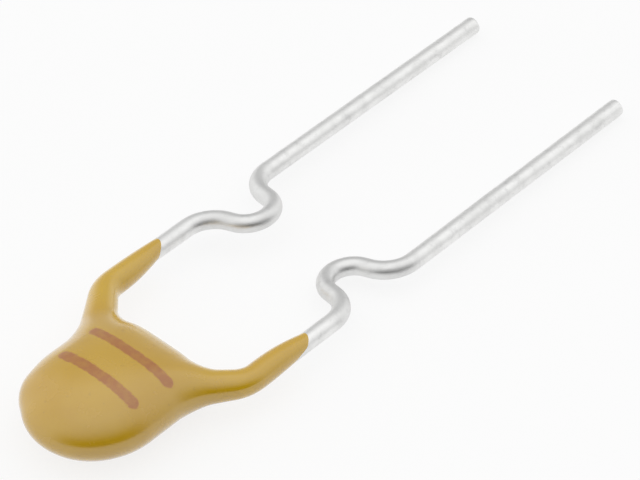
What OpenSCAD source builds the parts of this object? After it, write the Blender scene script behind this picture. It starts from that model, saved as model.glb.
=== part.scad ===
// Radial-leaded resettable fuse. A conductive polymer disc between two foils has a kinked
// lead soldered to each face, and one dipped epoxy coat covers the disc and the lead roots.
// It lies as it comes to rest, on the belly of the coat and on both lead tips.
// Millimetres, +Z up, +X from the body towards the lead tips.

/* [Disc] */
// Diameter of the polymer disc and of its foils
disc_d = 3.0; // [2.6:0.1:3.4]
// Thickness of the conductive polymer
core_t = 0.26; // [0.2:0.02:0.4]
// Thickness of each electrode foil
foil_t = 0.035; // [0.02:0.005:0.07]

/* [Leads] */
// Diameter of the tinned wire
wire_d = 0.51; // [0.45:0.01:0.6]
// Distance between the two leads, measured along the disc's faces
lead_pitch = 5.1; // [4.8:0.1:6]
// Distance of each lead from the disc's centre line where it is soldered
seat_y = 0.75; // [0.6:0.05:0.9]
// Length of each lead past the disc's centre, towards the closed end
seat_back = 0.9; // [0.6:0.05:1.1]
// Distance from the disc's centre to where the leads run parallel
leg_x = 3.3; // [3.2:0.05:4]
// Angle at which the leads splay out to their pitch
splay_angle = 41; // [36:1:50]
// Radius of the splay's bends, at the wire's centre
splay_r = 0.95; // [0.6:0.05:1.2]

/* [Kink] */
// Distance from the disc's centre to the middle of the kink
kink_x = 7.75; // [7.4:0.05:9]
// Depth of the kink, at the wire's centre
kink_depth = 1.43; // [1.3:0.01:1.7]
// Angle between the kink's sides and the lead
kink_angle = 77.5; // [65:0.5:80]
// Radius of the two bends at the kink's foot
kink_foot_r = 0.9; // [0.6:0.05:1]
// Radius of the bend at the kink's crest
kink_crest_r = 0.7; // [0.5:0.05:0.85]
// Length of the lead past the middle of the kink
lead_past_kink = 10.4; // [6:0.1:20]
// Chamfer round the cut tip
tip_chamfer = 0.04; // [0.02:0.01:0.1]
// How much a bend swells the wire's radius
bend_swell = 0.003; // [0.003:0.001:0.01]

/* [Solder] */
// Film of solder between each lead and its foil
solder_film = 0.02; // [0.01:0.005:0.05]
// Radius of the solder bead that beds each lead
bead_r = 0.42; // [0.38:0.01:0.46]
// Length of the bead between its round ends
bead_length = 1.2; // [0.8:0.1:1.4]

/* [Coat] */
// Coat over the leads, above and below the disc
face_cover = 0.305; // [0.25:0.005:0.6]
// Coat past the rim of the disc at its sides
side_cover = 0.39; // [0.35:0.01:0.8]
// Coat past the rim of the disc at the closed end
back_cover = 0.66; // [0.4:0.01:1]
// Coat past the rim of the disc between the legs
crotch_cover = 0.97; // [0.6:0.01:1.2]
// Coat round each lead where it leaves the disc
neck_cover = 0.34; // [0.3:0.01:0.5]
// Coat round each lead where its leg begins
leg_cover = 0.12; // [0.08:0.01:0.2]
// Share of the legs' coat that leans towards the space between them
leg_lean = 0.68; // [0:0.02:0.8]
// Bare wire from the nose of each leg to the middle of the kink
bare_run = 2.78; // [2.4:0.02:3.1]
// Slant of the legs' noses, seen from above
end_slant = 16; // [0:1:45]
// Height of the noses' middle above the wire's centre
nose_lift = 0.03; // [0:0.01:0.08]
// Sideways shift of the coat's belly from the disc's centre line
belly_shift = -0.17; // [-0.2:0.01:0.2]
// Radius of the blend between the belly and the legs
blend_r = 0.7; // [0.4:0.05:0.9]

/* [Hidden] */
$fn = 64;

// Heights above the disc's middle
wire_r = wire_d / 2;
foil_top = core_t / 2 + foil_t;
seat_z = foil_top + solder_film + wire_r;

// The leads lie on opposite faces, so the disc tilts when both leads are level
disc_tilt = atan(2 * seat_z / lead_pitch);
leg_y = norm([lead_pitch / 2, seat_z]);

// The splay, from the seat on the disc to the leg
splay_rise = lead_pitch / 2 - seat_y;
splay_flank = (splay_rise - 2 * splay_r * (1 - cos(splay_angle))) / sin(splay_angle);
splay_x = leg_x - 2 * splay_r * sin(splay_angle) - splay_flank * cos(splay_angle);
flank_from = [splay_x + splay_r * sin(splay_angle), seat_y + splay_r * (1 - cos(splay_angle))];
flank_to = flank_from + splay_flank * [cos(splay_angle), sin(splay_angle)];

// The kink, from foot to crest
kink_bends = (kink_foot_r + kink_crest_r) * (1 - cos(kink_angle));
kink_flank = (kink_depth - kink_bends) / sin(kink_angle);
kink_half = (kink_foot_r + kink_crest_r) * sin(kink_angle) + kink_flank * cos(kink_angle);
tip_x = kink_x + lead_past_kink;

// Each straight run reaches this far into the bends beside it
run_reach = sqrt(bend_swell * min(splay_r, kink_foot_r, kink_crest_r));

// Each lead as steps of [turn, size]: a straight run has no turn and its size is a length,
// and a bend's size is its radius
lead_steps = [
    [0, seat_back + splay_x],
    [splay_angle, splay_r],
    [0, splay_flank],
    [-splay_angle, splay_r],
    [0, kink_x - kink_half - leg_x],
    [-kink_angle, kink_foot_r],
    [0, kink_flank],
    [2 * kink_angle, kink_crest_r],
    [0, kink_flank],
    [-kink_angle, kink_foot_r],
    [0, lead_past_kink - kink_half - tip_chamfer]
];

// Reach of the coat's belly from the disc's centre
disc_r = disc_d / 2;
half_t = seat_z + wire_r + face_cover;
back_reach = disc_r + back_cover;
crotch_reach = disc_r + crotch_cover;
side_reach = disc_r + side_cover;
leg_end_x = kink_x - bare_run;

// Roundness of the belly: 2 is an ellipse, and more is squarer
back_power = 2;
crotch_power = 4;
dome_power = 2.2;
// Fullness of the legs before they taper to the wire
leg_power = 2;

// Rest on a level surface that touches the belly and the wire at both tips
rest_x = tip_x - tip_chamfer;
rest_span = rest_x * rest_x - crotch_reach * crotch_reach;
rest_root = sqrt(pow(wire_r * rest_x, 2) + rest_span * (half_t * half_t - wire_r * wire_r));
rest_slope = (rest_root - wire_r * rest_x) / rest_span;
rest_pitch = atan(rest_slope);
rest_z = (wire_r + rest_slope * rest_x) * cos(rest_pitch);
back_end = -norm([back_reach * cos(rest_pitch), half_t * sin(rest_pitch)]);
tip_end = tip_x * cos(rest_pitch) + wire_r * sin(rest_pitch);
middle_x = (back_end + tip_end) / 2;

// The coat is lofted through upright sections that fan out from a point between the legs, level
// with the belly's middle
fan_x = (leg_x + leg_end_x) / 2;
fan_past = wire_d * (1 + tan(end_slant));
fan_angle = 90 + atan((leg_end_x + fan_past - fan_x) / (leg_y - abs(belly_shift)));
fan_reach = fan_x + back_reach + side_reach;
fan_sections = 73;
section_points = 40;
probe_count = 80;
halvings = 30;

function clamp(t, low, high) = min(max(t, low), high);

function smooth_step(t) = let (u = clamp(t, 0, 1)) u * u * (3 - 2 * u);

function soft_max(a, b, width) = max(a, b) + pow(max(width - abs(a - b), 0), 2) / (4 * width);

// Distance from point p to the straight line from a to b
function line_distance(p, a, b) =
    let (along = clamp((p - a) * (b - a) / ((b - a) * (b - a)), 0, 1))
    norm(p - a - along * (b - a));

// Distance from point p to an arc, or a large number beside its span
function arc_distance(p, centre, r, from, to) =
    let (v = p - centre, turn = atan2(v.y, v.x))
    turn >= from && turn <= to ? abs(norm(v) - r) : fan_reach;

// Distance from point p to a lead's centre line, seen along the disc's axis
function lead_distance(p) = min(
    line_distance(p, [-seat_back, seat_y], [splay_x, seat_y]),
    line_distance(p, flank_from, flank_to),
    line_distance(p, [leg_x, lead_pitch / 2], [tip_x, lead_pitch / 2]),
    arc_distance(p, [splay_x, seat_y + splay_r], splay_r, -90, splay_angle - 90),
    arc_distance(p, [leg_x, lead_pitch / 2 - splay_r], splay_r, 90, splay_angle + 90)
);

// How much of the coat is left on a leg, from 1 where the leg begins to 0 at its slanted nose,
// at a distance across from the lead's centre
function leg_left(x, across) =
    let (end = max(leg_end_x + across * tan(end_slant), leg_x + wire_r))
    1 - pow(max(x - leg_x, 0) / (end - leg_x), leg_power);

// How much of the neck is left, from 1 where a lead leaves the disc to 0 where its leg begins
function neck_left(x) = 1 - smooth_step((x - splay_x) / (leg_x - splay_x));

// Half the coat's thickness, squared, from the sleeve on the lead of one side; past the nose
// the sleeve stays inside the wire
function sleeve_height(x, y, side) =
    let (
        left = leg_left(x, clamp(y - side * leg_y, -wire_d, wire_d)),
        neck = neck_left(x),
        cover = leg_cover * left + (neck_cover - leg_cover) * neck,
        lean = leg_lean * leg_cover * max(left, 0) * (1 - neck),
        along_disc = (side * y - seat_z * sin(disc_tilt)) / cos(disc_tilt)
    )
    pow(max(wire_r + cover, wire_r / 2), 2) - pow(lead_distance([x, along_disc + lean]), 2);

// Half the coat's thickness, squared, from the belly over the disc
function belly_height(x, y) =
    let (
        reach = x < 0 ? back_reach : crotch_reach,
        power = x < 0 ? back_power : crotch_power,
        ring = pow(abs(x) / reach, power) + pow(abs(y - belly_shift) / side_reach, power)
    )
    half_t * half_t * (1 - pow(ring, dome_power / power));

function coat_height(x, y) =
    let (width = blend_r * blend_r)
    soft_max(
        soft_max(belly_height(x, y), sleeve_height(x, y, 1), width),
        sleeve_height(x, y, -1), width
    );

// A point of the fan, at an angle from the belly's axis and a distance from the fan's centre
function fan_point(angle, out) = [fan_x - out * cos(angle), belly_shift + out * sin(angle)];

function fan_height(angle, out) =
    let (p = fan_point(angle, out))
    coat_height(p.x, p.y);

// The coat's edge along a ray of the fan, between a distance inside it and one outside it
function coat_edge(angle, inside, outside, n = halvings) =
    let (middle = (inside + outside) / 2)
    n == 0 ? inside
    : fan_height(angle, middle) > 0 ? coat_edge(angle, middle, outside, n - 1)
    : coat_edge(angle, inside, middle, n - 1);

// One closed section of the coat along a ray, from its edge between the legs over the top
// to its outer edge and back underneath
function coat_section(angle) =
    let (
        probes = [for (i = [0:probe_count]) fan_height(angle, fan_reach * i / probe_count)],
        crest = max(probes),
        inside = fan_reach / probe_count * [for (i = [0:probe_count]) if (probes[i] == crest) i][0],
        near = coat_edge(angle, inside, 0),
        far = coat_edge(angle, inside, fan_reach)
    )
    [
        for (k = [0:section_points - 1])
        let (
            turn = 360 * k / section_points,
            out = (near + far) / 2 - cos(turn) * (far - near) / 2,
            p = fan_point(angle, out),
            rise = nose_lift * smooth_step((p.x - leg_x) / (leg_end_x - leg_x)),
            z = rise + sign(sin(turn)) * sqrt(max(coat_height(p.x, p.y), 0))
        )
        [p.x, p.y, z]
    ];

// A skin lofted through closed sections that all have the same number of points
module loft(sections) {
    n = len(sections[0]);
    last = (len(sections) - 1) * n;
    sides = [
        for (j = [0:len(sections) - 2], k = [0:n - 1])
        let (a = j * n + k, b = j * n + (k + 1) % n)
        each [[a, b, a + n], [b, b + n, a + n]]
    ];
    caps = [for (k = [1:n - 2]) each [[0, k + 1, k], [last, last + k, last + k + 1]]];
    polyhedron(points = [for (s = sections) each s], faces = concat(sides, caps));
}

module coat_skin() {
    loft([for (j = [0:fan_sections - 1]) coat_section(fan_angle * (2 * j / (fan_sections - 1) - 1))]);
}

// Places children drawn about the plane of both leads
module lying() {
    translate([-middle_x, 0, rest_z])
        rotate([0, rest_pitch, 0])
            children();
}

// Places children drawn about the disc's middle plane
module on_disc() {
    lying()
        rotate([-disc_tilt, 0, 0])
            children();
}

module bend(r, turn) {
    mirror([0, turn < 0 ? 1 : 0, 0])
        translate([0, r, 0])
            rotate([0, 0, -90])
                rotate_extrude(angle = abs(turn))
                    translate([r, 0])
                        circle(r = wire_r + bend_swell);
}

// The wire from step i on, each step starting where the last one ended
module wire(steps, i = 0) {
    if (i == len(steps)) {
        rotate([0, 90, 0]) cylinder(r1 = wire_r, r2 = wire_r - tip_chamfer, h = tip_chamfer);
    } else {
        turn = steps[i][0];
        size = steps[i][1];
        ahead = turn == 0 ? size : size * sin(abs(turn));
        aside = turn == 0 ? 0 : sign(turn) * size * (1 - cos(turn));
        if (turn == 0) {
            start = i == 0 ? 0 : run_reach;
            end = i == len(steps) - 1 ? 0 : run_reach;
            translate([-start, 0, 0]) rotate([0, 90, 0]) cylinder(r = wire_r, h = start + size + end);
        } else {
            bend(size, turn);
        }
        translate([ahead, aside, 0]) rotate([0, 0, turn]) wire(steps, i + 1);
    }
}

// The lead on the disc's upper face
module lead() {
    translate([-seat_back, seat_y, seat_z]) wire(lead_steps);
}

// The foil on the disc's upper face
module foil() {
    translate([0, 0, core_t / 2]) cylinder(r = disc_r, h = foil_t);
}

module core() {
    translate([0, 0, -core_t / 2]) cylinder(r = disc_r, h = core_t);
}

// The full bead on the upper face, with the lead still in it
module bead() {
    intersection() {
        translate([-seat_back, seat_y, foil_top]) {
            rotate([0, 90, 0]) cylinder(r = bead_r, h = bead_length);
            sphere(r = bead_r);
            translate([bead_length, 0, 0]) sphere(r = bead_r);
        }
        translate([0, 0, foil_top]) cylinder(r = disc_r, h = 2 * bead_r);
    }
}

module solder() {
    difference() {
        bead();
        lead();
    }
}

// Turns what belongs to the upper face over to the lower one
module lower_face() {
    rotate([180, 0, 0]) children();
}

module epoxy_coating() {
    color([0.78, 0.66, 0.38])
        difference() {
            lying() coat_skin();
            on_disc() {
                core();
                foil();
                bead();
                lead();
                lower_face() {
                    foil();
                    bead();
                    lead();
                }
            }
        }
}

module left_lead() {
    color("silver") on_disc() lead();
}

module right_lead() {
    color("silver") on_disc() lower_face() lead();
}

module polymer_disc() {
    color([0.15, 0.15, 0.16]) on_disc() core();
}

module upper_foil() {
    color([0.72, 0.69, 0.63]) on_disc() foil();
}

module lower_foil() {
    color([0.72, 0.69, 0.63]) on_disc() lower_face() foil();
}

module upper_solder() {
    color([0.66, 0.67, 0.68]) on_disc() solder();
}

module lower_solder() {
    color([0.66, 0.67, 0.68]) on_disc() lower_face() solder();
}

epoxy_coating();
left_lead();
right_lead();
polymer_disc();
upper_foil();
lower_foil();
upper_solder();
lower_solder();
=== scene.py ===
"""Looks of a radial-leaded resettable fuse: a dipped epoxy coat and two kinked tinned leads.

Sizes are in millimetres and repeat the named values of the part's source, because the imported
frame is all that this script reads. Meshes are turned into metres when they are made.
"""

import math

import bpy
import numpy as np
from mathutils import Matrix, Vector, noise


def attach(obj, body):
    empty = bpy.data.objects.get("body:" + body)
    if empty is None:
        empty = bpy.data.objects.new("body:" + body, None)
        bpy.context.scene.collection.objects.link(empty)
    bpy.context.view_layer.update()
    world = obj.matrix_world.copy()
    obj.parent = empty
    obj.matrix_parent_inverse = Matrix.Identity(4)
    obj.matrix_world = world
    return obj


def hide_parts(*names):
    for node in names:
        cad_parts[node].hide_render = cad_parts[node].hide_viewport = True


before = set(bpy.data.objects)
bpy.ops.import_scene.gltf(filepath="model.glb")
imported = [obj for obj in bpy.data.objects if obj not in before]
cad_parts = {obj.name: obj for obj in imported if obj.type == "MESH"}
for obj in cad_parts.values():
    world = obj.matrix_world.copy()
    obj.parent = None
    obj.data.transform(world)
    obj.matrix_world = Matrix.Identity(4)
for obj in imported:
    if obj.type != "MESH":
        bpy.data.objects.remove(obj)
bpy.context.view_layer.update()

MM = 0.001

# Sizes of the part
disc_d = 3.0
core_t = 0.26
foil_t = 0.035
wire_d = 0.51
lead_pitch = 5.1
seat_y = 0.75
seat_back = 0.9
leg_x = 3.3
splay_angle = math.radians(41)
splay_r = 0.95
kink_x = 7.75
kink_depth = 1.43
kink_angle = math.radians(77.5)
kink_foot_r = 0.9
kink_crest_r = 0.7
lead_past_kink = 10.4
tip_chamfer = 0.04
solder_film = 0.02
face_cover = 0.305
side_cover = 0.39
back_cover = 0.66
crotch_cover = 0.97
neck_cover = 0.34
leg_cover = 0.12
leg_lean = 0.68
bare_run = 2.78
end_slant = math.radians(16)
nose_lift = 0.03
belly_shift = -0.17
blend_r = 0.7
back_power = 2.0
crotch_power = 4.0
dome_power = 2.2
leg_power = 2.0

# Sizes that follow from them
wire_r = wire_d / 2
disc_r = disc_d / 2
seat_z = core_t / 2 + foil_t + solder_film + wire_r
disc_tilt = math.atan(2 * seat_z / lead_pitch)
leg_y = math.hypot(lead_pitch / 2, seat_z)
splay_rise = lead_pitch / 2 - seat_y
splay_flank = (splay_rise - 2 * splay_r * (1 - math.cos(splay_angle))) / math.sin(splay_angle)
splay_x = leg_x - 2 * splay_r * math.sin(splay_angle) - splay_flank * math.cos(splay_angle)
flank_from = (
    splay_x + splay_r * math.sin(splay_angle),
    seat_y + splay_r * (1 - math.cos(splay_angle)),
)
flank_to = (
    flank_from[0] + splay_flank * math.cos(splay_angle),
    flank_from[1] + splay_flank * math.sin(splay_angle),
)
kink_bends = (kink_foot_r + kink_crest_r) * (1 - math.cos(kink_angle))
kink_flank = (kink_depth - kink_bends) / math.sin(kink_angle)
kink_half = (kink_foot_r + kink_crest_r) * math.sin(kink_angle) + kink_flank * math.cos(kink_angle)
tip_x = kink_x + lead_past_kink
half_t = seat_z + wire_r + face_cover
back_reach = disc_r + back_cover
crotch_reach = disc_r + crotch_cover
side_reach = disc_r + side_cover
leg_end_x = kink_x - bare_run

# Rest on the belly and on both tips
rest_x = tip_x - tip_chamfer
rest_span = rest_x**2 - crotch_reach**2
rest_root = math.sqrt((wire_r * rest_x) ** 2 + rest_span * (half_t**2 - wire_r**2))
rest_slope = (rest_root - wire_r * rest_x) / rest_span
rest_pitch = math.atan(rest_slope)
rest_z = (wire_r + rest_slope * rest_x) * math.cos(rest_pitch)
back_end = -math.hypot(back_reach * math.cos(rest_pitch), half_t * math.sin(rest_pitch))
tip_end = tip_x * math.cos(rest_pitch) + wire_r * math.sin(rest_pitch)
middle_x = (back_end + tip_end) / 2

# Fineness of the meshes
coat_sections = 261
section_points = 120
fan_x = (leg_x + leg_end_x) / 2
fan_past = wire_d * (1 + math.tan(end_slant))
fan_angle = math.pi / 2 + math.atan((leg_end_x + fan_past - fan_x) / (leg_y - abs(belly_shift)))
fan_reach = fan_x + back_reach + side_reach
probe_count = 160
halvings = 40
wire_sides = 48
run_step = 0.08
bend_step = math.radians(3)
crease_angle = math.radians(40)
# Sine under which a point of a section counts as on the coat's edge
edge_sine = 1e-9


def lying(points):
    """Points drawn about the plane of both leads, as the part lies."""
    x, y, z = points.T
    c, s = math.cos(rest_pitch), math.sin(rest_pitch)
    return np.stack([x * c + z * s - middle_x, y, z * c - x * s + rest_z], axis=1)


def on_disc(points):
    """Points drawn about the disc's middle plane, as the part lies."""
    x, y, z = points.T
    c, s = math.cos(disc_tilt), math.sin(disc_tilt)
    return lying(np.stack([x, y * c + z * s, z * c - y * s], axis=1))


# The coat's field: half its thickness, squared, over a point of the plane of both leads


def smooth_step(t):
    u = np.clip(t, 0, 1)
    return u * u * (3 - 2 * u)


def soft_max(a, b, width):
    return np.maximum(a, b) + np.maximum(width - np.abs(a - b), 0) ** 2 / (4 * width)


def line_distance(x, y, a, b):
    dx, dy = b[0] - a[0], b[1] - a[1]
    along = np.clip(((x - a[0]) * dx + (y - a[1]) * dy) / (dx * dx + dy * dy), 0, 1)
    return np.hypot(x - a[0] - along * dx, y - a[1] - along * dy)


def arc_distance(x, y, centre, r, start, end):
    turn = np.arctan2(y - centre[1], x - centre[0])
    off = np.abs(np.hypot(x - centre[0], y - centre[1]) - r)
    return np.where((turn >= start) & (turn <= end), off, fan_reach)


def lead_distance(x, y):
    quarter = math.pi / 2
    splay_in = (splay_x, seat_y + splay_r)
    splay_out = (leg_x, lead_pitch / 2 - splay_r)
    return np.minimum.reduce(
        [
            line_distance(x, y, (-seat_back, seat_y), (splay_x, seat_y)),
            line_distance(x, y, flank_from, flank_to),
            line_distance(x, y, (leg_x, lead_pitch / 2), (tip_x, lead_pitch / 2)),
            arc_distance(x, y, splay_in, splay_r, -quarter, splay_angle - quarter),
            arc_distance(x, y, splay_out, splay_r, quarter, splay_angle + quarter),
        ]
    )


def leg_left(x, across):
    end = np.maximum(leg_end_x + across * math.tan(end_slant), leg_x + wire_r)
    return 1 - (np.maximum(x - leg_x, 0) / (end - leg_x)) ** leg_power


def sleeve_height(x, y, side):
    left = leg_left(x, np.clip(y - side * leg_y, -wire_d, wire_d))
    neck = 1 - smooth_step((x - splay_x) / (leg_x - splay_x))
    cover = leg_cover * left + (neck_cover - leg_cover) * neck
    lean = leg_lean * leg_cover * np.maximum(left, 0) * (1 - neck)
    along_disc = (side * y - seat_z * math.sin(disc_tilt)) / math.cos(disc_tilt)
    radius = np.maximum(wire_r + cover, wire_r / 2)
    return radius**2 - lead_distance(x, along_disc + lean) ** 2


def belly_height(x, y):
    reach = np.where(x < 0, back_reach, crotch_reach)
    power = np.where(x < 0, back_power, crotch_power)
    ring = (np.abs(x) / reach) ** power + (np.abs(y - belly_shift) / side_reach) ** power
    return half_t**2 * (1 - ring ** (dome_power / power))


def coat_height(x, y):
    width = blend_r**2
    body = soft_max(belly_height(x, y), sleeve_height(x, y, 1), width)
    return soft_max(body, sleeve_height(x, y, -1), width)


def fan_point(angle, out):
    return fan_x - out * np.cos(angle), belly_shift + out * np.sin(angle)


def coat_edge(angles, inside, outside):
    """The coat's edge on each ray of the fan, between a distance inside it and one outside it."""
    for _ in range(halvings):
        middle = (inside + outside) / 2
        within = coat_height(*fan_point(angles, middle)) > 0
        inside = np.where(within, middle, inside)
        outside = np.where(within, outside, middle)
    return inside


def coat_points():
    """Closed upright sections of the coat along rays that fan out from between the legs."""
    angles = np.linspace(fan_angle, -fan_angle, coat_sections)
    probes = np.linspace(0, fan_reach, probe_count)
    heights = coat_height(*fan_point(angles[:, None], probes[None, :]))
    inside = probes[heights.argmax(axis=1)]
    near = coat_edge(angles, inside, np.zeros_like(inside))[:, None]
    far = coat_edge(angles, inside, np.full_like(inside, fan_reach))[:, None]
    turn = 2 * math.pi * np.arange(section_points)[None, :] / section_points
    x, y = fan_point(angles[:, None], (near + far) / 2 - np.cos(turn) * (far - near) / 2)
    rise = nose_lift * smooth_step((x - leg_x) / (leg_end_x - leg_x))
    side = np.where(np.abs(np.sin(turn)) < edge_sine, 0, np.sign(np.sin(turn)))
    z = rise + side * np.sqrt(np.maximum(coat_height(x, y), 0))
    return np.stack([x, y, z], axis=2).reshape(-1, 3)


# Meshes


def ring_faces(rings, n):
    """Quads between closed rings of n points each, and a cap on each end."""
    faces = []
    for i in range(rings - 1):
        for j in range(n):
            a, b = i * n + j, i * n + (j + 1) % n
            faces.append((a, b, b + n, a + n))
    faces.append(tuple(range(n - 1, -1, -1)))
    last = (rings - 1) * n
    faces.append(tuple(range(last, last + n)))
    return faces


def piece(name, points, faces, material):
    """A smooth mesh object from points in millimetres."""
    mesh = bpy.data.meshes.new(name)
    mesh.from_pydata([tuple(p) for p in points * MM], [], faces)
    mesh.validate()
    mesh.update()
    mesh.shade_smooth()
    mesh.set_sharp_from_angle(angle=crease_angle)
    mesh.materials.append(material)
    obj = bpy.data.objects.new(name, mesh)
    bpy.context.scene.collection.objects.link(obj)
    return obj


# Dips of the coat's skin, from the way that the wet epoxy draws together as it cures
dip_depth = 0.016
dip_scale = 0.9


def make_coat(material):
    """The coat's skin, dipped inwards and kept above the floor."""
    points = lying(coat_points())
    faces = ring_faces(coat_sections, section_points)
    obj = piece("coat_skin", points, faces, material)
    normals = np.zeros(len(points) * 3, np.float32)
    obj.data.vertices.foreach_get("normal", normals)
    normals = normals.reshape(-1, 3)
    sag = np.array([0.5 + 0.5 * noise.noise(Vector(p) * dip_scale) for p in points])
    points = points - normals * (dip_depth * sag)[:, None]
    points[:, 2] = np.maximum(points[:, 2], 0)
    obj.data.vertices.foreach_set("co", (points * MM).astype(np.float32).ravel())
    obj.data.update()
    return obj


def lead_line():
    """Points and directions along a lead's centre line, in the disc's plane."""
    steps = [
        (0, seat_back + splay_x),
        (splay_angle, splay_r),
        (0, splay_flank),
        (-splay_angle, splay_r),
        (0, kink_x - kink_half - leg_x),
        (-kink_angle, kink_foot_r),
        (0, kink_flank),
        (2 * kink_angle, kink_crest_r),
        (0, kink_flank),
        (-kink_angle, kink_foot_r),
        (0, lead_past_kink - kink_half - tip_chamfer),
    ]
    at, heading = np.array([-seat_back, seat_y]), 0.0
    line = [(at, heading)]
    for turn, size in steps:
        if turn == 0:
            count = max(1, round(size / run_step))
            ahead = np.array([math.cos(heading), math.sin(heading)])
            line += [(at + ahead * size * (i + 1) / count, heading) for i in range(count)]
        else:
            count = max(2, round(abs(turn) / bend_step))
            side = math.copysign(1, turn)
            centre = at + side * size * np.array([-math.sin(heading), math.cos(heading)])
            for i in range(count):
                now = heading + turn * (i + 1) / count
                out = side * size * np.array([math.sin(now), -math.cos(now)])
                line.append((centre + out, now))
            heading += turn
        at = line[-1][0]
    return line


# Small unevenness of the drawn wire: half the most share of the radius that is worn off
wire_wear = 0.004
wire_wear_scale = 1.3
tip_rings = 4


def make_lead(name, material, face):
    """A lead on the disc's upper face (face 1) or turned over to its lower face (face -1)."""
    line = lead_line()
    rings = [(at, heading, wire_r) for at, heading in line]
    at, heading, _ = rings[-1]
    ahead = np.array([math.cos(heading), math.sin(heading)])
    for i in range(tip_rings):
        turn = math.pi / 2 * (i + 1) / tip_rings
        r = wire_r - tip_chamfer * (1 - math.cos(turn))
        rings.append((at + ahead * tip_chamfer * math.sin(turn), heading, r))
    around = 2 * math.pi * np.arange(wire_sides) / wire_sides
    points, lengths, run = [], [], 0.0
    for i, (at, heading, r) in enumerate(rings):
        run += np.linalg.norm(at - rings[i - 1][0]) if i else 0
        lengths.append(run)
        spots = [Vector((run * wire_wear_scale, math.cos(a), math.sin(a))) for a in around]
        worn = np.array([1 - wire_wear * (1 + noise.noise(spot)) for spot in spots])
        out = r * np.cos(around) * worn
        x = at[0] - math.sin(heading) * out
        y = at[1] + math.cos(heading) * out
        z = seat_z + r * np.sin(around) * worn
        points.append(np.stack([x, y, z], axis=1))
    points = np.concatenate(points) * np.array([1, face, face])
    obj = piece(name, on_disc(points), ring_faces(len(rings), wire_sides), material)
    uv = obj.data.uv_layers.new(name="drawn")
    for polygon in obj.data.polygons:
        columns = [v % wire_sides for v in polygon.vertices]
        wraps = max(columns) - min(columns) > wire_sides / 2
        for loop, v, column in zip(polygon.loop_indices, polygon.vertices, columns):
            turned = column + (wire_sides if wraps and column == 0 else 0)
            uv.data[loop].uv = (turned / wire_sides, lengths[v // wire_sides] / lengths[-1])
    return obj


# Materials


class Nodes:
    """Short ways to add linked nodes to a material or a world."""

    # Places of the colour sockets on a Mix node
    mix_share, mix_first, mix_second, mix_result = 0, 6, 7, 2

    def __init__(self, owner):
        owner.use_nodes = True
        self.tree = owner.node_tree
        self.tree.nodes.clear()

    def add(self, kind, *inputs, **settings):
        """A node with its first inputs filled in their order."""
        node = self.tree.nodes.new(kind)
        for key, value in settings.items():
            setattr(node, key, value)
        for index, value in enumerate(inputs):
            self.put(node.inputs[index], value)
        return node

    def put(self, socket, value):
        """Links an output to a socket, or sets a plain value; None leaves the socket alone."""
        if value is None:
            return
        if isinstance(value, bpy.types.NodeSocket):
            self.tree.links.new(value, socket)
        else:
            socket.default_value = value

    def math(self, operation, *values):
        return self.add("ShaderNodeMath", *values, operation=operation).outputs[0]

    def ramp(self, value, low, high, start=0.0, end=1.0):
        """A smooth passage from start, at low, to end, at high."""
        limits = (low, high, start, end)
        node = self.add("ShaderNodeMapRange", value, *limits, interpolation_type="SMOOTHSTEP")
        return node.outputs[0]

    def mix(self, share, first, second):
        node = self.add("ShaderNodeMix", data_type="RGBA")
        self.put(node.inputs[self.mix_share], share)
        self.put(node.inputs[self.mix_first], first)
        self.put(node.inputs[self.mix_second], second)
        return node.outputs[self.mix_result]

    def tones(self, share, pair):
        return self.mix(share, rgb(*pair[0]), rgb(*pair[1]))

    def noise(self, coords, scale, detail, rough):
        node = self.add("ShaderNodeTexNoise", coords)
        node.inputs["Scale"].default_value = scale
        node.inputs["Detail"].default_value = detail
        node.inputs["Roughness"].default_value = rough
        return node.outputs[0]

    def scaled(self, coords, scale):
        node = self.add("ShaderNodeMapping", coords)
        node.inputs["Scale"].default_value = scale
        return node.outputs[0]

    def millimetres(self):
        """The part's own coordinates, in millimetres."""
        coords = self.add("ShaderNodeTexCoord").outputs["Object"]
        return self.scaled(coords, (1 / MM, 1 / MM, 1 / MM))

    def bump(self, height, depth, strength, normal=None):
        """A bumped normal, from a height and its depth in millimetres, over another normal."""
        node = self.add("ShaderNodeBump")
        node.inputs["Strength"].default_value = strength
        node.inputs["Distance"].default_value = depth * MM
        self.put(node.inputs["Height"], height)
        self.put(node.inputs["Normal"], normal)
        return node.outputs[0]

    def surface(self, **inputs):
        shader = self.add("ShaderNodeBsdfPrincipled")
        for key, value in inputs.items():
            self.put(shader.inputs[key.replace("_", " ")], value)
        self.add("ShaderNodeOutputMaterial", shader.outputs[0])


def rgb(r, g, b):
    return (r, g, b, 1.0)


# Every noise below is given as its cells to a millimetre, its detail and its roughness, every bump
# as its depth in millimetres and its strength, and every pair of tones as red, green and blue.
# Values of a noise between which a ramp passes, softly or harder
soft_range = (0.3, 0.7)
hard_range = (0.35, 0.65)

# Two plain ink stripes across the top of the body: centre along X, ends along Y, half width
ink_stripes = [(-6.92, -1.48, 1.02, 0.16), (-8.1, -1.4, 0.95, 0.16)]
ink_tone = (0.41, 0.13, 0.002)
ink_edge = 0.025
ink_heights = (1.1, 1.25)
ink_ragged = 0.09
ink_ragged_noise = (9.0, 3.0, 0.5)
ink_worn_noise = (5.0, 4.0, 0.6)
ink_worn_range = (0.3, 0.62)
ink_worn_share = (0.75, 1.0)
ink_roughness = 0.1


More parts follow.
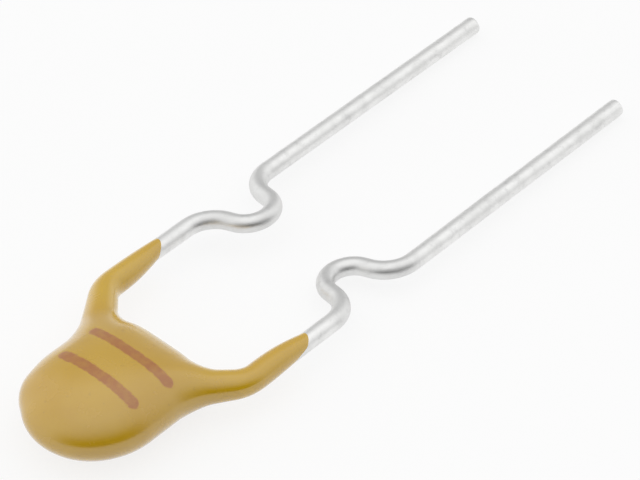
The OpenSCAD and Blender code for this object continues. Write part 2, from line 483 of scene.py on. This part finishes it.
def ink_mask(n, mm):
    """Share of ink at a point: rounded stripes with ragged edges, worn, on the top side alone."""
    x, y, z = n.add("ShaderNodeSeparateXYZ", mm).outputs
    middling = n.math("SUBTRACT", n.noise(mm, *ink_ragged_noise), 0.5)
    ragged = n.math("MULTIPLY", middling, ink_ragged)
    masks = []
    for centre, low, high, half in ink_stripes:
        across = n.math("SUBTRACT", x, centre)
        along = n.math("ABSOLUTE", n.math("SUBTRACT", y, (low + high) / 2))
        past = n.math("MAXIMUM", n.math("SUBTRACT", along, (high - low) / 2), 0.0)
        squares = n.math("ADD", n.math("POWER", across, 2.0), n.math("POWER", past, 2.0))
        off = n.math("ADD", n.math("SQRT", squares), ragged)
        masks.append(n.ramp(off, half - ink_edge, half + ink_edge, 1.0, 0.0))
    on_top = n.ramp(z, *ink_heights)
    worn = n.ramp(n.noise(mm, *ink_worn_noise), *ink_worn_range, *ink_worn_share)
    return n.math("MULTIPLY", n.math("MULTIPLY", n.math("MAXIMUM", *masks), on_top), worn)


# Epoxy: clouded tones of the body and of the legs, and where along X they pass into each other
body_tones = ((0.567, 0.326, 0.004), (0.597, 0.356, 0.009))
leg_tones = ((0.62, 0.365, 0.002), (0.65, 0.4, 0.006))
leg_tones_x = (-6.6, -5.2)
cloud_noise = (0.7, 3.0, 0.5)
# Its flecks, and the most that they show
fleck_tone = (0.36, 0.19, 0.012)
fleck_noise = (6.5, 2.0, 0.5)
fleck_range = (0.66, 0.78)
fleck_share = 0.35
# Its skin: roughness, orange peel and a fine grain under a clear gloss
epoxy_roughness = (0.22, 0.28)
epoxy_rough_noise = (1.6, 3.0, 0.5)
peel_noise = (3.2, 2.0, 0.4)
peel_bump = (0.006, 0.35)
skin_noise = (22.0, 2.0, 0.5)
skin_bump = (0.0008, 0.3)
epoxy_ior = 1.6
gloss_weight = 1.0
gloss_roughness = 0.18


def epoxy_material():
    material = bpy.data.materials.new("epoxy")
    n = Nodes(material)
    mm = n.millimetres()
    x = n.add("ShaderNodeSeparateXYZ", mm).outputs[0]
    cloud = n.ramp(n.noise(mm, *cloud_noise), *soft_range)
    legs_share = n.ramp(x, *leg_tones_x)
    colour = n.mix(legs_share, n.tones(cloud, body_tones), n.tones(cloud, leg_tones))
    fleck = n.ramp(n.noise(mm, *fleck_noise), *fleck_range, 0.0, fleck_share)
    colour = n.mix(fleck, colour, rgb(*fleck_tone))
    ink = ink_mask(n, mm)
    colour = n.mix(ink, colour, rgb(*ink_tone))
    rough = n.ramp(n.noise(mm, *epoxy_rough_noise), *soft_range, *epoxy_roughness)
    rough = n.math("ADD", rough, n.math("MULTIPLY", ink, ink_roughness))
    peel = n.bump(n.noise(mm, *peel_noise), *peel_bump)
    skin = n.bump(n.noise(mm, *skin_noise), *skin_bump, peel)
    n.surface(
        Base_Color=colour,
        Roughness=rough,
        Normal=skin,
        IOR=epoxy_ior,
        Coat_Weight=gloss_weight,
        Coat_Roughness=gloss_roughness,
        Coat_IOR=epoxy_ior,
        Coat_Normal=skin,
    )
    return material


# Tin: bright tones in patches, and the roughness that goes with them
tin_tones = ((0.83, 0.83, 0.82), (0.91, 0.91, 0.9))
tin_roughness = (0.46, 0.36)
patch_noise = (1.7, 4.0, 0.6)
# Its dull spots, and the most that they show
dull_tone = (0.7, 0.7, 0.695)
dull_noise = (3.6, 4.0, 0.65)
dull_range = (0.52, 0.7)
dull_share = 0.6
# Painted shade on the tin: a darker reflection painted into its colour over the kinks; the middle
# of the kinks along X, and how far to each side it reaches
kink_shade_tone = (0.67, 0.67, 0.665)
kink_shade_share = 0.48
kink_shade_middle = kink_x * math.cos(rest_pitch) - middle_x
kink_shade_full = kink_half * 0.6
kink_shade_gone = kink_half * 1.2
# Lines that drawing left, so many around a wire and along it, with their roughness; then dents
drawn_scale = (60.0, 6.0, 1.0)
drawn_noise = (1.0, 3.0, 0.6)
drawn_roughness = 0.06
drawn_bump = (0.002, 0.4)
dent_noise = (3.0, 3.0, 0.55)
dent_bump = (0.01, 0.45)


def tin_material():
    material = bpy.data.materials.new("tinned_wire")
    n = Nodes(material)
    mm = n.millimetres()
    uv = n.add("ShaderNodeTexCoord").outputs["UV"]
    lines = n.noise(n.scaled(uv, drawn_scale), *drawn_noise)
    patch = n.noise(mm, *patch_noise)
    colour = n.tones(n.ramp(patch, *soft_range), tin_tones)
    dull = n.ramp(n.noise(mm, *dull_noise), *dull_range, 0.0, dull_share)
    colour = n.mix(dull, colour, rgb(*dull_tone))
    # Painted shade: the tin's colour is darkened over the kinks, standing in for a darker
    # reflection there
    x = n.add("ShaderNodeSeparateXYZ", mm).outputs[0]
    from_kink = n.math("ABSOLUTE", n.math("SUBTRACT", x, kink_shade_middle))
    painted_kink_shade = n.ramp(from_kink, kink_shade_full, kink_shade_gone, kink_shade_share, 0.0)
    colour = n.mix(painted_kink_shade, colour, rgb(*kink_shade_tone))
    rough = n.ramp(patch, *soft_range, *tin_roughness)
    rough = n.math("ADD", rough, n.math("MULTIPLY", lines, drawn_roughness))
    scored = n.bump(lines, *drawn_bump)
    dents = n.bump(n.noise(mm, *dent_noise), *dent_bump, scored)
    n.surface(Base_Color=colour, Metallic=1.0, Roughness=rough, Normal=dents)
    return material


def grainy_material(name, grain_noise, tones, roughness, bump, metallic):
    """A plain material of a hidden node, whose grain sets its tone, roughness and bump."""
    material = bpy.data.materials.new(name)
    n = Nodes(material)
    grain = n.noise(n.millimetres(), *grain_noise)
    n.surface(
        Base_Color=n.tones(n.ramp(grain, *hard_range), tones),
        Roughness=n.ramp(grain, *hard_range, *roughness),
        Normal=n.bump(grain, *bump),
        Metallic=metallic,
    )
    return material


epoxy = epoxy_material()
tin = tin_material()
polymer = grainy_material(
    "polymer",
    grain_noise=(14.0, 4.0, 0.65),
    tones=((0.018, 0.018, 0.02), (0.05, 0.05, 0.052)),
    roughness=(0.5, 0.7),
    bump=(0.004, 0.4),
    metallic=0.0,
)
foil = grainy_material(
    "foil",
    grain_noise=(18.0, 4.0, 0.6),
    tones=((0.56, 0.53, 0.47), (0.66, 0.63, 0.56)),
    roughness=(0.38, 0.5),
    bump=(0.003, 0.4),
    metallic=1.0,
)
solder = grainy_material(
    "solder",
    grain_noise=(7.0, 5.0, 0.6),
    tones=((0.54, 0.55, 0.56), (0.66, 0.67, 0.68)),
    roughness=(0.3, 0.48),
    bump=(0.006, 0.4),
    metallic=1.0,
)
node_materials = {
    "epoxy_coating": epoxy,
    "left_lead": tin,
    "right_lead": tin,
    "polymer_disc": polymer,
    "upper_foil": foil,
    "lower_foil": foil,
    "upper_solder": solder,
    "lower_solder": solder,
}
for node, material in node_materials.items():
    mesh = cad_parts[node].data
    mesh.materials.clear()
    mesh.materials.append(material)

coat = make_coat(epoxy)
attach(coat, "root")
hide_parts("epoxy_coating")

for name, node, face in (("wire_left", "left_lead", 1), ("wire_right", "right_lead", -1)):
    wire = make_lead(name, tin, face)
    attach(wire, "root")
    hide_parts(node)

# Stage: a pale floor that stays near white where the camera sees it and keeps the shadow
floor_half = 1.5
floor_tones = ((0.93, 0.93, 0.93), (0.95, 0.95, 0.95))
floor_noise = (0.05, 3.0, 0.5)
floor_white = 0.82


def make_floor():
    material = bpy.data.materials.new("floor")
    n = Nodes(material)
    path = n.add("ShaderNodeLightPath").outputs
    seen = n.math("MAXIMUM", path["Is Camera Ray"], path["Is Glossy Ray"])
    seen = n.math("MAXIMUM", seen, path["Is Transmission Ray"])
    paper = n.noise(n.millimetres(), *floor_noise)
    shade = n.tones(n.ramp(paper, *soft_range), floor_tones)
    diffuse = n.add("ShaderNodeBsdfDiffuse", shade).outputs[0]
    white = n.add("ShaderNodeEmission", rgb(1.0, 1.0, 1.0), 1.0).outputs[0]
    share = n.math("MULTIPLY", seen, floor_white)
    mixed = n.add("ShaderNodeMixShader", share, diffuse, white).outputs[0]
    n.add("ShaderNodeOutputMaterial", mixed)
    mesh = bpy.data.meshes.new("floor")
    signs = ((-1, -1), (1, -1), (1, 1), (-1, 1))
    mesh.from_pydata([(x * floor_half, y * floor_half, 0) for x, y in signs], [], [(0, 1, 2, 3)])
    mesh.materials.append(material)
    obj = bpy.data.objects.new("floor", mesh)
    bpy.context.scene.collection.objects.link(obj)


# The room's light, and its dim walls: direction along the floor, dimness, the cosines between
# which each wall sets in sideways, and the heights between which it fades upwards
room_tone = (1.05, 1.05, 1.05)
dim_walls = [
    ((-0.53, -0.848, 0.0), 1.0, 0.1, 0.95, 0.3, 0.95),
    ((0.766, 0.643, 0.0), 0.5, 0.75, 0.97, 0.55, 0.9),
]


def make_world():
    """A soft white room that is dim towards the open front and a little dim at the back."""
    world = bpy.data.worlds.new("room")
    bpy.context.scene.world = world
    n = Nodes(world)
    way = n.add("ShaderNodeTexCoord").outputs["Generated"]
    height = n.add("ShaderNodeSeparateXYZ", way).outputs[2]
    level = n.add("ShaderNodeVectorMath", way, (1.0, 1.0, 0.0), operation="MULTIPLY").outputs[0]
    level = n.add("ShaderNodeVectorMath", level, operation="NORMALIZE").outputs[0]
    shade = rgb(*room_tone)
    for direction, dimness, begins, full, fades, gone in dim_walls:
        dot = n.add("ShaderNodeVectorMath", level, direction, operation="DOT_PRODUCT")
        facing = n.ramp(dot.outputs["Value"], begins, full)
        dim = n.math("MULTIPLY", facing, n.ramp(height, fades, gone, dimness, 0.0))
        shade = n.mix(dim, shade, rgb(0.0, 0.0, 0.0))
    background = n.add("ShaderNodeBackground", shade, 1.0).outputs[0]
    n.add("ShaderNodeOutputWorld", background)


# A weak round softbox overhead: its direction, its distance and size in metres, and its radiance
softbox_direction = (0.1, 0.05, 0.95)
softbox_distance = 0.45
softbox_size = 0.5
softbox_radiance = 0.12


def make_softbox():
    lamp = bpy.data.lights.new("softbox", "AREA")
    lamp.shape = "DISK"
    lamp.size = softbox_size
    lamp.energy = softbox_radiance * math.pi * math.pi * (softbox_size / 2) ** 2
    obj = bpy.data.objects.new("softbox", lamp)
    direction = Vector(softbox_direction)
    obj.location = direction.normalized() * softbox_distance
    obj.rotation_euler = direction.to_track_quat("Z", "Y").to_euler()
    bpy.context.scene.collection.objects.link(obj)


# The photograph's view: place in millimetres, the picture's right and up, and the lens in pixels
camera_place = (-51.2271, -44.1611, 66.5617)
camera_right = (0.66143, -0.7498, 0.01763)
camera_up = (0.51494, 0.4711, 0.71617)
lens_px = 3556.545
width_px = 640
sensor_width = 36.0
clip_range = (0.001, 10.0)


def make_camera():
    data = bpy.data.cameras.new("camera")
    data.sensor_width = sensor_width
    data.sensor_fit = "HORIZONTAL"
    data.lens = lens_px * sensor_width / width_px
    data.clip_start, data.clip_end = clip_range
    right, up = Vector(camera_right), Vector(camera_up)
    turn = Matrix((right, up, right.cross(up))).transposed().to_4x4()
    obj = bpy.data.objects.new("camera", data)
    obj.matrix_world = Matrix.Translation(Vector(camera_place) * MM) @ turn
    bpy.context.scene.collection.objects.link(obj)
    bpy.context.scene.camera = obj


make_floor()
make_world()
make_softbox()
make_camera()
bpy.context.scene.view_settings.view_transform = "Standard"
